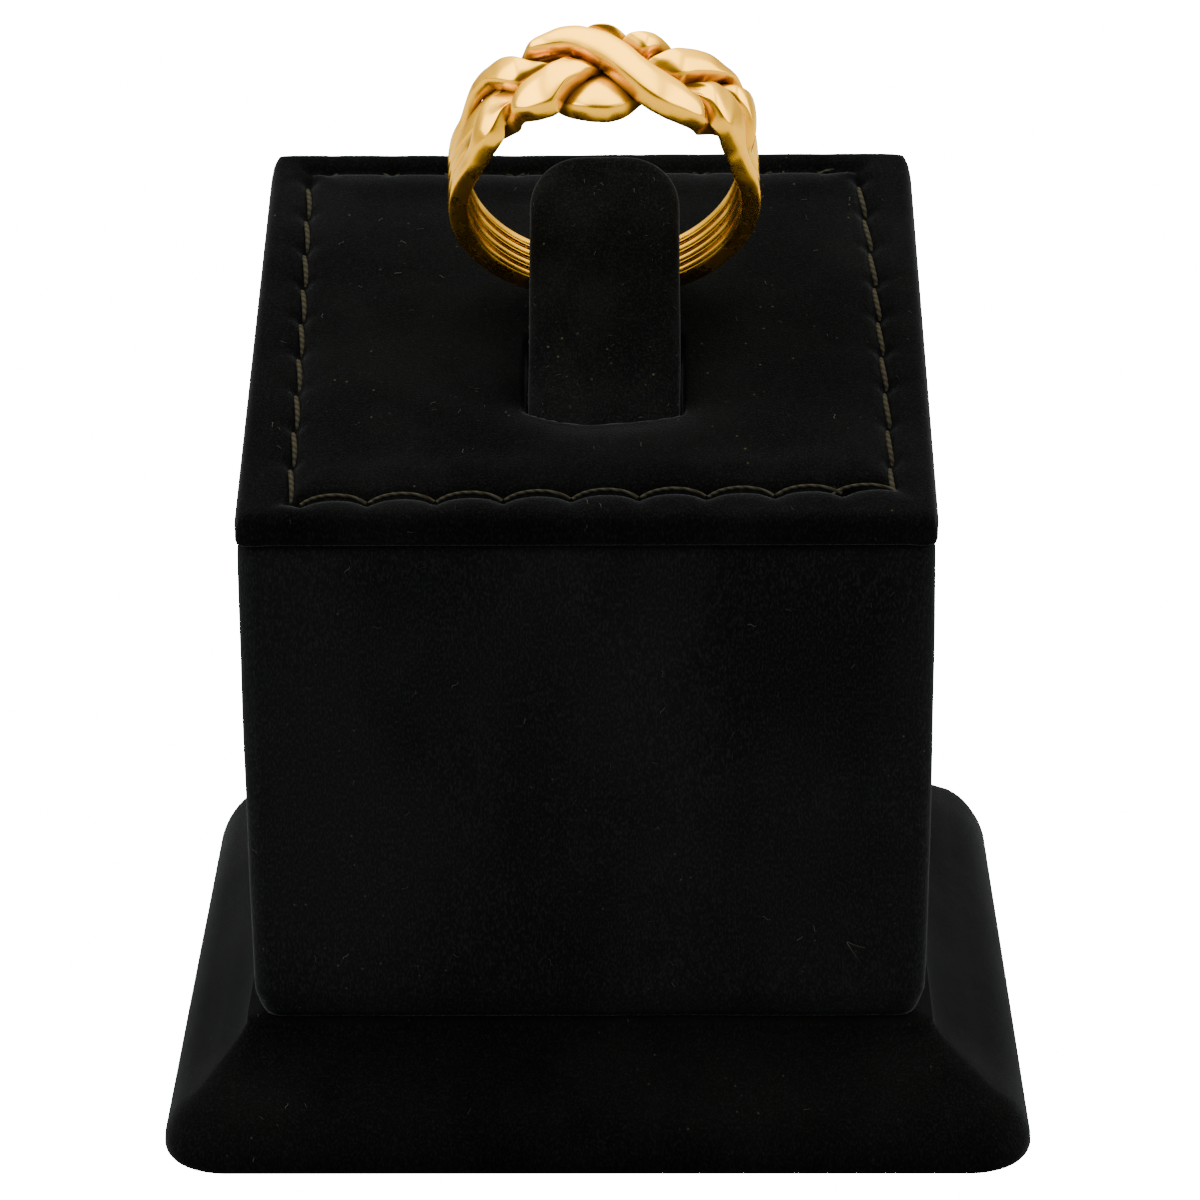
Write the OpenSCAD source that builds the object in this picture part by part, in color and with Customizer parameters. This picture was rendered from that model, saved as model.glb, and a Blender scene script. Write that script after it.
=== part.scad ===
// Braided ring of four narrow bands, standing over the tongue of a padded display stand.
// Origin: middle of the plinth's underside. The front is -Y and up is +Z. Millimetres.

/* [Plinth] */
// Width of the plinth
plinth_w = 58.1; // [54:0.1:66]
// Depth of the plinth from front to back
plinth_d = 52.5; // [48:0.1:60]
// Height of the plinth's upright edge
plinth_edge_h = 1; // [0.5:0.1:3]
// Height of the shoulder where the plinth's steep side meets its broad bevel
shoulder_h = 4.3; // [3.5:0.1:6]
// How far the shoulder stands in from the plinth's edge
shoulder_in = 2; // [0.5:0.1:3]
// Height of the plinth at the foot of the block
plinth_h = 8.3; // [7:0.1:12]
// Radius of the plinth's upright corners
plinth_corner_r = 4.5; // [2:0.1:6]
// Flat rim of the plinth round the foot of the block
foot_rim = 0.4; // [0.1:0.1:2]

/* [Block] */
// Width of the block
block_w = 45; // [40:0.5:48]
// Depth of the block from front to back
block_d = 39.5; // [36:0.5:42]
// Height of the block's front face
block_front_h = 34.2; // [25:0.1:45]
// Sideways offset of the block from the middle of the plinth
block_shift = -0.5; // [-1:0.1:1]
// Radius of the block's upright corners
block_corner_r = 1.2; // [0.5:0.1:3]
// How far the foot of the block is tucked in on each side
foot_tuck = 0.5; // [0.1:0.1:1.5]
// Height of the tuck at the foot of the block
foot_tuck_h = 2; // [0.5:0.1:4]

/* [Top pad] */
// Slope of the top, rising to the back, in degrees
pad_slope = 17.1; // [10:0.1:20]
// Thickness of the padded top
pad_t = 2.1; // [2.1:0.1:4]
// Radius of the pad's top edges
pad_edge_r = 1; // [0.5:0.1:1]
// Gap in the slot on each side of the tongue
slot_side = 1.4; // [0.5:0.1:3]

/* [Tongue] */
// Width of the tongue
tongue_w = 10.1; // [8:0.1:11]
// Thickness of the tongue
tongue_t = 3; // [2.9:0.1:3.6]
// Length of the tongue's upper face, from the mouth of the slot to the tip
tongue_l = 18.1; // [14:0.1:22]
// Rise of the tongue above the pad, in degrees
tongue_rise = 30; // [28:0.5:35]
// Radius of the tongue's long edges
tongue_edge_r = 1.4; // [0.8:0.1:1.4]
// Radius of the two corners of the tip
tip_r = 3.2; // [1:0.1:3.9]
// Clearance that the pad and the tongue keep from what they carry or pass through
soft_gap = 0.3; // [0.2:0.05:0.5]

/* [Ring] */
// Radius of the finger hole
bore_r = 9; // [8.5:0.05:10.5]
// Thickness of one band in the shank
band_t = 1.28; // [1:0.02:1.6]
// Width of the four bands together at the bottom of the shank
shank_w = 3.44; // [3:0.02:5]
// Width that the shank would grow to at the top of the ring
shoulder_w = 6; // [5:0.05:7]
// Height of the knot above the finger hole
knot_h = 2.7; // [2.5:0.05:3.5]
// Half the width of the knot
knot_half = 3.93; // [3.6:0.01:4.6]
// Clearance between two bands that lie side by side
lane_gap = 0.12; // [0.1:0.01:0.2]
// Clearance between two bands that cross
cross_gap = 0.38; // [0.36:0.01:0.42]
// Height of the rounded side below the crown of a band
band_edge = 0.42; // [0.2:0.02:0.5]
// Distance from the front of the pad to the middle of the ring, up the slope
ring_along = 21.7; // [19:0.1:24]
// Sideways offset of the ring and the tongue from the middle of the block
ring_side = 1.1; // [-2:0.1:2]
// Lean of the ring's axis above the pad, in degrees
ring_lean = 13.9; // [11:0.1:17]
// Turn of the ring about its own upright, in degrees
ring_turn = 1.8; // [-3:0.1:3]

/* [Hidden] */
$fn = 60;
velvet = "#18181c";
gold = "#e2b55c";

// How far a shape reaches past a solid that it cuts or clips
past = 2;
// The block's front top edge, and the pad's before its edge is rounded
seam_z = plinth_h + block_front_h;
pad_z = seam_z + pad_t / cos(pad_slope);
// Height of the ring's middle above the pad, with the front edge of the shank on its seat
ring_up = (bore_r + band_t) * cos(ring_lean) + shank_w / 2 * sin(ring_lean) + soft_gap;
// The front edge of the finger hole's lowest line, as a distance up the slope and a height above it
rest_along = ring_along + bore_r * sin(ring_lean) - shank_w / 2 * cos(ring_lean);
rest_up = band_t * cos(ring_lean) + soft_gap;
// Height of the tongue above that line, at which its two rounded edges clear the round hole
edge_room = bore_r - tongue_edge_r;
tongue_lift = edge_room - sqrt(pow(edge_room - soft_gap, 2) - pow(tongue_w / 2 - tongue_edge_r, 2));
// Where the tongue's upper face comes out of the pad, up the slope
mouth = rest_along - (rest_up * cos(tongue_rise) + tongue_t + tongue_lift) / sin(tongue_rise);

// The braid. Each band has a table of rows across the knot: the angle round the ring from its top,
// then the band's front edge and back edge in hundredths of knot_half, then the level of its front
// and of its back in hundredths of the climb from the finger hole to the top of the knot.
knot_from = -78;
knot_to = 84;
WEAVE = [
    [
        [-62, -66, -31, 10, 10],
        [-56, -65, -29, 20, 60],
        [-52, -65, -16, 40, 95],
        [-48, -65, 3, 55, 100],
        [-44, -61, 19, 65, 85],
        [-41, -51, 30, 55, 40],
        [-38, -35, 41, 25, 10],
        [-34, -16, 50, 0, 0],
        [-31, -3, 55, 0, 0],
        [-28, 12, 59, 0, 0],
        [-26, 20, 64, 0, 0],
        [-24, 28, 73, 0, 0],
        [-20, 40, 81, 0, 0],
        [-12, 55, 95, 0, 0],
        [-7, 60, 101, 0, 40],
        [-3, 66, 105, 0, 75],
        [1, 73, 105, 0, 80],
        [5, 80, 102, 0, 70],
        [9, 70, 96, 0, 20],
        [12, 54, 88, 0, 0],
        [16, 38, 75, 0, 0],
        [18, 32, 64, 0, 0],
        [20, 26, 51, 0, 0],
        [22, 20, 46, 0, 0],
        [25, 8, 44, 0, 0],
        [29, -6, 38, 0, 0],
        [33, -11, 26, 45, 20],
        [37, -21, 28, 90, 80],
        [41, -35, 30, 100, 90],
        [44, -47, 30, 90, 90],
        [48, -53, 23, 80, 100],
        [52, -55, 6, 50, 100],
        [57, -59, -5, 30, 80],
        [63, -62, -23, 20, 20],
        [72, -64, -34, 0, 0]
    ],
    [
        [-66, -26, -2, 0, 0],
        [-60, -24, 0, 0, 0],
        [-55, -25, 1, 0, 0],
        [-50, -33, 1, 0, 0],
        [-44, -40, -9, 0, 0],
        [-40, -43, -24, 0, 0],
        [-36, -47, -29, 10, 10],
        [-32, -52, -27, 70, 70],
        [-28, -59, -13, 85, 95],
        [-24, -65, 4, 85, 100],
        [-20, -66, 15, 85, 100],
        [-17, -65, 24, 85, 100],
        [-14.5, -50, 28, 90, 95],
        [-12, -33, 28, 100, 80],
        [-8, -15, 33, 90, 30],
        [-4, 3, 47, 35, 0],
        [0, 17, 62, 0, 0],
        [4, 25, 68, 0, 20],
        [6, 31, 74, 5, 60],
        [9, 42, 86, 40, 100],
        [14, 45, 92, 100, 100],
        [18, 49, 92, 80, 90],
        [22, 58, 90, 40, 60],
        [25, 56, 88, 0, 40],
        [29, 45, 82, 0, 0],
        [34, 32, 80, 0, 0],
        [42, 34, 75, 0, 0],
        [47, 29, 58, 50, 30],
        [51, 18, 58, 90, 80],
        [56, 4, 62, 100, 100],
        [61, -10, 60, 90, 100],
        [65, -21, 43, 70, 80],
        [70, -29, -2, 0, 0]
    ],
    [
        [-66, 10, 32, 0, 0],
        [-60, 19, 43, 0, 0],
        [-54, 28, 62, 0, 0],
        [-48, 38, 75, 0, 0],
        [-40, 48, 82, 0, 0],
        [-34, 56, 85, 0, 10],
        [-29, 62, 85, 0, 40],
        [-26, 65, 85, 40, 80],
        [-23.5, 62, 86, 90, 100],
        [-18, 55, 92, 100, 100],
        [-13, 49, 97, 100, 100],
        [-8, 39, 95, 100, 100],
        [-4, 25, 88, 100, 100],
        [1, 5, 78, 100, 100],
        [5, -16, 65, 100, 100],
        [9, -36, 49, 100, 100],
        [13, -55, 29, 100, 100],
        [18, -69, 11, 100, 100],
        [24, -74, -6, 90, 100],
        [29, -71, -14, 75, 90],
        [33, -62, -15, 50, 60],
        [36, -52, -14, 20, 25],
        [40, -41, -6, 0, 0],
        [46, -32, 10, 0, 0],
        [52, -22, 20, 0, 0],
        [58, -8, 28, 0, 0],
        [66, 0, 30, 0, 0]
    ],
    [
        [-68, 38, 62, 0, 0],
        [-62, 44, 71, 25, 40],
        [-56, 47, 78, 80, 70],
        [-50, 50, 82, 100, 90],
        [-45, 49, 85, 100, 90],
        [-40, 35, 85, 100, 90],
        [-36, 21, 82, 100, 100],
        [-31, 6, 72, 90, 100],
        [-27, -2, 58, 60, 90],
        [-24, -14, 50, 20, 60],
        [-20, -30, 35, 0, 40],
        [-17, -42, 26, 0, 10],
        [-14, -51, 21, 0, 0],
        [-9, -62, 14, 5, 5],
        [-4, -70, 8, 10, 20],
        [1, -72, 5, 10, 10],
        [6, -65, 20, 5, 0],
        [11, -49, 29, 0, 0],
        [15, -30, 33, 0, 10],
        [19, -13, 45, 15, 75],
        [22, -3, 55, 60, 100],
        [25, 1, 66, 90, 100],
        [28, 5, 74, 100, 100],
        [33, 20, 85, 100, 100],
        [38, 35, 91, 100, 100],
        [44, 52, 95, 100, 90],
        [50, 65, 99, 100, 80],
        [56, 72, 100, 80, 60],
        [62, 72, 99, 60, 40],
        [68, 65, 95, 30, 20],
        [76, 45, 78, 0, 0]
    ]
];
// Each crossing: the band above, the band below, and the angles between which they cross
CROSSINGS = [
    [0, 1, -59, -33],
    [3, 2, -61, -27],
    [3, 0, -41, -19],
    [2, 0, -27, 7],
    [1, 3, -29, -1],
    [2, 1, -9, 13],
    [2, 3, -1, 25],
    [1, 0, 5, 21],
    [3, 0, 15, 37],
    [3, 1, 21, 49],
    [0, 2, 33, 61],
    [1, 2, 49, 71]
];
// The angle, the growth from the shank to the knot, and a band's thickness, in hundredths
// of the growth from band_t to knot_h and of band_t
SWELL = [
    [-180, 0, 100],
    [-78, 0, 100],
    [-66, 10, 92],
    [-60, 24, 88],
    [-50, 48, 88],
    [-38, 72, 92],
    [-20, 97, 100],
    [0, 100, 100],
    [25, 90, 96],
    [40, 84, 92],
    [52, 88, 88],
    [62, 82, 90],
    [70, 62, 96],
    [78, 30, 104],
    [88, 0, 100],
    [180, 0, 100]
];
// Where a section's points stand across a band, from its front side at -1 to its back side at 1
SHARES = [-1, -0.9, -0.62, -0.22, 0.22, 0.62, 0.9, 1];
// A band's crown: how far it falls to the side in all, and in the outer part alone
crown_fall = 0.1;
crown_shoulder = 0.14;
shoulder_from = 0.62;
// The rounding of a band's inner edges, and the least thickness that a crossing leaves
inner_edge = 0.2;
least_t = 0.25;
// How a band gives way to another: up to full_within beside it in full and up to blend_within
// not at all, with the share of half the knot's height that the upper band keeps
full_within = 0.15;
blend_within = 0.6;
kept = 0.45;

// A value from 0 to 1 that starts and ends softly
function soft_step(x) =
    let (c = min(1, max(0, x)))
    c * c * (3 - 2 * c);

// Slopes at row i of a table, which never overshoot the rows beside it
function row_slopes(t, i) =
    let (ends = i == 0 || i == len(t) - 1)
    let (before = ends ? 1 : t[i][0] - t[i - 1][0])
    let (after = ends ? 1 : t[i + 1][0] - t[i][0])
    [for (c = [1 : len(t[0]) - 1])
        let (d0 = ends ? 0 : (t[i][c] - t[i - 1][c]) / before)
        let (d1 = ends ? 0 : (t[i + 1][c] - t[i][c]) / after)
        d0 * d1 > 0 ? 3 * (before + after) / ((2 * after + before) / d0 + (after + 2 * before) / d1) : 0];

function all_slopes(t) = [for (i = [0 : len(t) - 1]) row_slopes(t, i)];

// The columns of a table at an angle, on a smooth curve through its rows
function read_table(t, slopes, angle) =
    let (i = max([for (j = [0 : len(t) - 2]) if (j == 0 || t[j][0] <= angle) j]))
    let (span = t[i + 1][0] - t[i][0])
    let (s = (angle - t[i][0]) / span)
    [for (c = [1 : len(t[0]) - 1])
        pow(1 - s, 2) * ((1 + 2 * s) * t[i][c] + s * span * slopes[i][c - 1])
        + s * s * ((3 - 2 * s) * t[i + 1][c] - (1 - s) * span * slopes[i + 1][c - 1])];

// The lane of band k in the plain shank: angle, front edge, back edge and the two levels
function shank_row(k, angle) =
    let (grown = (1 - cos(180 - abs(angle))) / 2)
    let (half = (shank_w + (shoulder_w - shank_w) * grown) / 2)
    [angle, half * (k / 2 - 1) + lane_gap / 2, half * ((k + 1) / 2 - 1) - lane_gap / 2, 0, 0];

function knot_rows(k) = concat(
    [shank_row(k, knot_from)],
    [for (r = WEAVE[k]) [r[0], r[1] * knot_half / 100, r[2] * knot_half / 100, r[3] / 100, r[4] / 100]],
    [shank_row(k, knot_to)]);

function in_shank(angle) = angle <= knot_from || angle >= knot_to;

function band_lanes(k) =
    let (rows = knot_rows(k))
    let (slopes = all_slopes(rows))
    [for (a = ANGLES)
        in_shank(a) ? [for (c = [1 : 4]) shank_row(k, a)[c]] : read_table(rows, slopes, a)];

// Sections every 6 degrees round the shank and every 2 degrees across the knot
ANGLES = concat(
    [for (a = [-180 : 6 : knot_from - 1]) a],
    [for (a = [knot_from : 2 : knot_to - 1]) a],
    [for (a = [knot_to : 6 : 179]) a]);
LANES = [for (k = [0 : 3]) band_lanes(k)];
SWELL_SLOPES = all_slopes(SWELL);
// Height of the knot and thickness of a band at each angle
HEIGHTS = [for (a = ANGLES)
    let (s = read_table(SWELL, SWELL_SLOPES, a))
    [band_t + (knot_h - band_t) * s[0] / 100, band_t * s[1] / 100]];

// How fully a point at w lies over or under another band, from 0 to 1
function crossed(w, other) =
    soft_step((min(w - other[0], other[1] - w) + blend_within) / (blend_within - full_within));

// The same for all crossings at angle n in which band k is above (side 0) or below (side 1)
function crossing_share(k, n, w, side) =
    max([0, for (c = CROSSINGS)
        if (c[side] == k && ANGLES[n] >= c[2] && ANGLES[n] <= c[3])
            crossed(w, LANES[c[1 - side]][n])]);

function mix(a, b, s) = a + (b - a) * s;

// Place across the ring, inner height and outer height of band k at angle n and share x
function band_walls(k, n, x) =
    let (lane = LANES[k][n])
    let (w = mix(lane[0], lane[1], (1 + x) / 2))
    let (split = HEIGHTS[n][0] / 2)
    let (plain = mix(lane[2], lane[3], (1 + x) / 2) * (HEIGHTS[n][0] - HEIGHTS[n][1]))
    let (above = crossing_share(k, n, w, 0))
    let (below = crossing_share(k, n, w, 1))
    let (floor_z = split + cross_gap / 2)
    let (roof_z = split - cross_gap / 2)
    let (low_1 = mix(plain, max(plain, floor_z), above))
    let (high_1 = mix(plain + HEIGHTS[n][1], max(plain + HEIGHTS[n][1], floor_z + kept * split), above))
    let (high = mix(high_1, min(high_1, roof_z), below))
    let (low = mix(low_1, max(min(low_1, roof_z - kept * split), 0), below))
    let (spare = max(0, least_t - high + low) / 2)
    [w, low - spare, high + spare];

function crown(x) = crown_fall * x * x + crown_shoulder * soft_step((abs(x) - shoulder_from) / (1 - shoulder_from));

// One closed section of band k, as places across the ring and heights above the finger hole
function band_section(k, n) =
    let (walls = [for (x = SHARES) band_walls(k, n, x)])
    let (last = len(SHARES) - 1)
    concat(
        [for (i = [1 : last - 1]) [walls[i][0], walls[i][1]]],
        [side_low(walls[last]), side_high(walls[last])],
        [for (i = [last - 1 : -1 : 1]) [walls[i][0], walls[i][2] - crown(SHARES[i])]],
        [side_high(walls[0]), side_low(walls[0])]);

function side_low(wall) = [wall[0], wall[1] + min(inner_edge, (wall[2] - wall[1]) / 4)];

function side_high(wall) = [wall[0], wall[2] - min(band_edge, (wall[2] - wall[1]) / 2)];

// Triangles of a closed loop of closed sections
function loop_faces(rings, sides) =
    [for (n = [0 : rings - 1])
        for (j = [0 : sides - 1])
            let (m = (n + 1) % rings)
            let (i = (j + 1) % sides)
            each [[n * sides + j, m * sides + j, m * sides + i], [n * sides + j, m * sides + i, n * sides + i]]];

module rounded_rect(w, h, r) {
    square([w - 2 * r, h], center = true);
    square([w, h - 2 * r], center = true);
    for (x = [-1, 1], y = [-1, 1])
        translate([x * (w / 2 - r), y * (h / 2 - r)])
            circle(r);
}

// A profile of width and height, drawn right across the solid from side to side
module across_x(w) {
    rotate([90, 0, 90])
        linear_extrude(w + past, center = true)
            children();
}

// A profile of width and height, drawn right through the solid from front to back
module across_y(d) {
    rotate([90, 0, 0])
        linear_extrude(d + past, center = true)
            children();
}

// The pad's own frame: its sloping top, from the middle of its front edge
module on_pad() {
    translate([block_shift, -block_d / 2, pad_z])
        rotate([pad_slope, 0, 0])
            children();
}

// The tongue's own frame: its upper face, from the mouth of the slot
module on_tongue() {
    on_pad()
        translate([ring_side, mouth, 0])
            rotate([tongue_rise, 0, 0])
                children();
}

// The ring's own frame: its middle, with the finger hole along Y and the knot on top
module on_ring() {
    on_pad()
        translate([ring_side, ring_along, ring_up])
            rotate([ring_lean, 0, 0])
                rotate([0, 0, ring_turn])
                    children();
}

// Upright edges, steep sides and a bevel up to the rim round the block, which may be off centre
module plinth_profile(middle, edge_w, top_w) {
    rim = top_w / 2 + foot_rim;
    polygon([
        [-edge_w / 2, 0],
        [edge_w / 2, 0],
        [edge_w / 2, plinth_edge_h],
        [edge_w / 2 - shoulder_in, shoulder_h],
        [middle + rim, plinth_h],
        [middle - rim, plinth_h],
        [-edge_w / 2 + shoulder_in, shoulder_h],
        [-edge_w / 2, plinth_edge_h]
    ]);
}

module plinth() {
    color(velvet)
        intersection() {
            linear_extrude(plinth_h)
                rounded_rect(plinth_w, plinth_d, plinth_corner_r);
            across_x(plinth_w)
                plinth_profile(0, plinth_d, block_d);
            across_y(plinth_d)
                plinth_profile(block_shift, plinth_w, block_w);
        }
}

// Heights of the block's sloping top and of the pad's at a distance y from the middle
function block_top(y) = seam_z + (y + block_d / 2) * tan(pad_slope);

function pad_top(y) = pad_z + (y + block_d / 2) * tan(pad_slope);

// A tucked foot and upright sides, up to the heights at the two ends
module block_profile(w, low_end, high_end) {
    polygon([
        [-w / 2 + foot_tuck, plinth_h],
        [w / 2 - foot_tuck, plinth_h],
        [w / 2, plinth_h + foot_tuck_h],
        [w / 2, high_end],
        [-w / 2, low_end],
        [-w / 2, plinth_h + foot_tuck_h]
    ]);
}

module block_plan() {
    translate([0, 0, plinth_h])
        linear_extrude(pad_top(block_d / 2))
            rounded_rect(block_w, block_d, block_corner_r);
}

module block() {
    color(velvet)
        translate([block_shift, 0, 0])
            intersection() {
                block_plan();
                across_x(block_w)
                    block_profile(block_d, block_top(-block_d / 2), block_top(block_d / 2));
                across_y(block_d)
                    block_profile(block_w, pad_top(block_d / 2), pad_top(block_d / 2));
            }
}

// A rounding about its middle, from one angle to another
function edge_arc(middle, from, to) =
    [for (i = [0 : 12])
        let (a = mix(from, to, i / 12))
        middle + pad_edge_r * [cos(a), sin(a)]];

// The pad from the side: on the block's slope, with its front and back top edges rounded
module pad_side_profile() {
    inset = block_d / 2 - pad_edge_r;
    drop = pad_edge_r / cos(pad_slope);
    polygon(concat(
        [[-block_d / 2, block_top(-block_d / 2)]],
        edge_arc([-inset, pad_top(-inset) - drop], 180, 90 + pad_slope),
        edge_arc([inset, pad_top(inset) - drop], 90 + pad_slope, 0),
        [[block_d / 2, block_top(block_d / 2)]]));
}

// The pad from the front: its two side top edges rounded
module pad_front_profile() {
    translate([-block_w / 2, -pad_t])
        square([block_w, pad_t - pad_edge_r]);
    translate([-block_w / 2 + pad_edge_r, -pad_t])
        square([block_w - 2 * pad_edge_r, pad_t]);
    for (x = [-1, 1])
        translate([x * (block_w / 2 - pad_edge_r), -pad_edge_r])
            circle(pad_edge_r);
}

// A bar of the tongue's own section along the tongue, or of that section grown for the slot
module tongue_bar(w, grow, from, to) {
    translate([0, from, -tongue_t / 2])
        rotate([-90, 0, 0])
            linear_extrude(to - from)
                rounded_rect(w, tongue_t + 2 * grow, tongue_edge_r + grow);
}

module top_pad() {
    through = (pad_t + tongue_t) / sin(tongue_rise) + past;
    color(velvet)
        difference() {
            intersection() {
                translate([block_shift, 0, 0])
                    block_plan();
                translate([block_shift, 0, 0])
                    across_x(block_w)
                        pad_side_profile();
                on_pad()
                    translate([0, block_d / 2, 0])
                        across_y(block_d * 1.2)
                            pad_front_profile();
            }
            on_tongue()
                tongue_bar(tongue_w + 2 * slot_side, soft_gap, -through, 2 * through);
        }
}

// The tongue stands on the block, comes out of the slot and carries the ring behind its mouth
module tongue() {
    root = (pad_t + tongue_t) / sin(tongue_rise) + past;
    color(velvet)
        intersection() {
            on_tongue()
                tongue_bar(tongue_w, 0, -root, tongue_l);
            on_tongue()
                translate([0, (tongue_l - root) / 2, -tongue_t - past])
                    linear_extrude(tongue_t + 2 * past)
                        rounded_rect(tongue_w, tongue_l + root, tip_r);
            on_pad()
                translate([-block_w / 2, -block_d, -pad_t])
                    cube([block_w, 3 * block_d, block_d]);
        }
}

module band(k) {
    sections = [for (n = [0 : len(ANGLES) - 1]) band_section(k, n)];
    color(gold)
        on_ring()
            polyhedron(
                points = [for (n = [0 : len(ANGLES) - 1])
                    for (p = sections[n])
                        [(bore_r + p[1]) * sin(ANGLES[n]), p[0], (bore_r + p[1]) * cos(ANGLES[n])]],
                faces = loop_faces(len(ANGLES), len(sections[0])));
}

plinth();
block();
top_pad();
tongue();
band(0);  // band_1
band(1);  // band_2
band(2);  // band_3
band(3);  // band_4
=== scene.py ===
import bpy
import numpy as np
from mathutils import Matrix


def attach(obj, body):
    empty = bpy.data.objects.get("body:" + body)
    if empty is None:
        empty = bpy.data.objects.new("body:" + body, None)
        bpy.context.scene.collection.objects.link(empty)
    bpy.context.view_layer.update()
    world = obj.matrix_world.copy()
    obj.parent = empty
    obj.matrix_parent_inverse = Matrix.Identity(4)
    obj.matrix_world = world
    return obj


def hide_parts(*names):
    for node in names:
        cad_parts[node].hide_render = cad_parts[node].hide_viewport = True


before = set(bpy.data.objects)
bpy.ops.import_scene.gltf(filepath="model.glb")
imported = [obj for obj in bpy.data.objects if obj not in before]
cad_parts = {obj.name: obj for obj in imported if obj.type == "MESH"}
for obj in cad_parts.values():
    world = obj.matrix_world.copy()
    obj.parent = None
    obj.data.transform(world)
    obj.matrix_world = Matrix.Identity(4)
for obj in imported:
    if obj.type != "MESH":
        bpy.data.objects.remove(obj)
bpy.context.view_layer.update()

# The plinth: a board foot wrapped in black velvet. Its edge stands upright for a millimetre, then
# the cloth runs up a steep side, over a soft shoulder and along a broad bevel to the block's foot.
# Everything on the stand is cut from the same cloth, so the pile is made here for all of it.
plinth_w, plinth_d, plinth_h = 58.1, 52.5, 8.3
plinth_corner, folded_corner = 4.0, 1.1
bevel_from, bevel_wide = 2.0, 4.6
block_w, block_d, block_shift = 45.0, 39.5, -0.5


def placed(name, mesh):
    """An object that holds a mesh and stands in the scene"""
    piece = bpy.data.objects.new(name, mesh)
    bpy.context.scene.collection.objects.link(piece)
    return piece


def skin(name, points, faces):
    """A smooth piece from points in millimetres and faces"""
    mesh = bpy.data.meshes.new(name)
    mesh.from_pydata([tuple(p) for p in points / 1000], [], faces)
    mesh.polygons.foreach_set("use_smooth", [True] * len(mesh.polygons))
    mesh.update()
    return placed(name, mesh)


def smooth_step(x):
    x = np.clip(x, 0, 1)
    return x * x * (3 - 2 * x)


def rounded_loop(half_x, half_y, radius, middle_x=0.0, straight=36, corner=10):
    """Points round a rounded rectangle, counter-clockwise from above, in matching order"""
    signs = ((1, 1), (-1, 1), (-1, -1), (1, -1))
    points = []
    for turn in range(4):
        centre = np.array(signs[turn]) * [half_x - radius, half_y - radius]
        for step in range(corner):
            a = np.radians(90 * turn + 90 * step / corner)
            points.append(centre + radius * np.array([np.cos(a), np.sin(a)]))
        a = np.radians(90 * (turn + 1))
        begin = centre + radius * np.array([np.cos(a), np.sin(a)])
        next_centre = np.array(signs[(turn + 1) % 4]) * [half_x - radius, half_y - radius]
        end = next_centre + radius * np.array([np.cos(a), np.sin(a)])
        for step in range(straight):
            points.append(begin + (end - begin) * step / straight)
    return np.array(points) + [middle_x, 0]


def curve_through(rows, at):
    """The columns of a short table at the values in at, on a smooth curve that never overshoots"""
    table = np.array(rows, float)
    x, y = table[:, 0], table[:, 1:]
    span = np.diff(x)
    rise = np.diff(y, axis=0) / span[:, None]
    slope = np.zeros_like(y)
    for i in range(1, len(x) - 1):
        a, b = 2 * span[i] + span[i - 1], span[i] + 2 * span[i - 1]
        same = rise[i - 1] * rise[i] > 0
        first = np.where(same, rise[i - 1], 1)
        second = np.where(same, rise[i], 1)
        slope[i] = np.where(same, (a + b) / (a / first + b / second), 0)
    at = np.clip(np.asarray(at, float), x[0], x[-1])
    i = np.clip(np.searchsorted(x, at, side="right") - 1, 0, len(x) - 2)
    h = span[i][:, None]
    s = (at - x[i])[:, None] / h
    return ((1 + 2 * s) * (1 - s) ** 2 * y[i] + s * (1 - s) ** 2 * h * slope[i]
            + s * s * (3 - 2 * s) * y[i + 1] - s * s * (1 - s) * h * slope[i + 1])


def loft(name, loops, closed=False):
    """A skin through loops of points, each counter-clockwise from above, closed or capped"""
    loops = np.asarray(loops, float)
    rows, count = loops.shape[:2]
    points = loops.reshape(-1, 3)
    faces = []
    for k in range(rows if closed else rows - 1):
        low, high = k * count, (k + 1) % rows * count
        for i in range(count):
            j = (i + 1) % count
            faces.append((low + i, low + j, high + j, high + i))
    if not closed:
        points = np.vstack([points, loops[0].mean(0), loops[-1].mean(0)])
        under, over = rows * count, rows * count + 1
        top = (rows - 1) * count
        for i in range(count):
            j = (i + 1) % count
            faces.append((under, j, i))
            faces.append((over, top + i, top + j))
    return skin(name, points, faces)


def soft_waves(points, size, height, seed):
    """Slow unevenness of laid cloth: a sum of a few slanted waves, in millimetres"""
    rng = np.random.default_rng(seed)
    total = np.zeros(len(points))
    for _ in range(7):
        way = rng.normal(size=3)
        way /= np.linalg.norm(way)
        wave_length = size * rng.uniform(0.6, 1.6)
        total += np.sin(points @ way * 2 * np.pi / wave_length + rng.uniform(0, 6.28))
    return total * height / 3


def feed(tree, node, feeds):
    """A node with its inputs set to values, or linked where a socket is given"""
    for key, value in feeds.items():
        if isinstance(value, bpy.types.NodeSocket):
            tree.links.new(value, node.inputs[key])
        else:
            node.inputs[key].default_value = value
    return node


def add(tree, kind, feeds, **settings):
    """A new node in a tree, with its settings and its inputs"""
    node = tree.nodes.new(kind)
    for name, value in settings.items():
        setattr(node, name, value)
    return feed(tree, node, feeds)


def maths(tree, kind, *feeds):
    return add(tree, "ShaderNodeMath", dict(enumerate(feeds)), operation=kind).outputs[0]


def blend(tree, share, first, second):
    """A colour between two"""
    feeds = {"Factor": share, 6: first, 7: second}
    return add(tree, "ShaderNodeMix", feeds, data_type="RGBA").outputs[2]


def noise(tree, place, scale, detail, stretch=(1, 1, 1)):
    stretched = add(tree, "ShaderNodeMapping", {"Vector": place, "Scale": stretch}).outputs["Vector"]
    feeds = {"Vector": stretched, "Scale": scale, "Detail": detail}
    return add(tree, "ShaderNodeTexNoise", feeds).outputs["Fac"]


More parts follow.
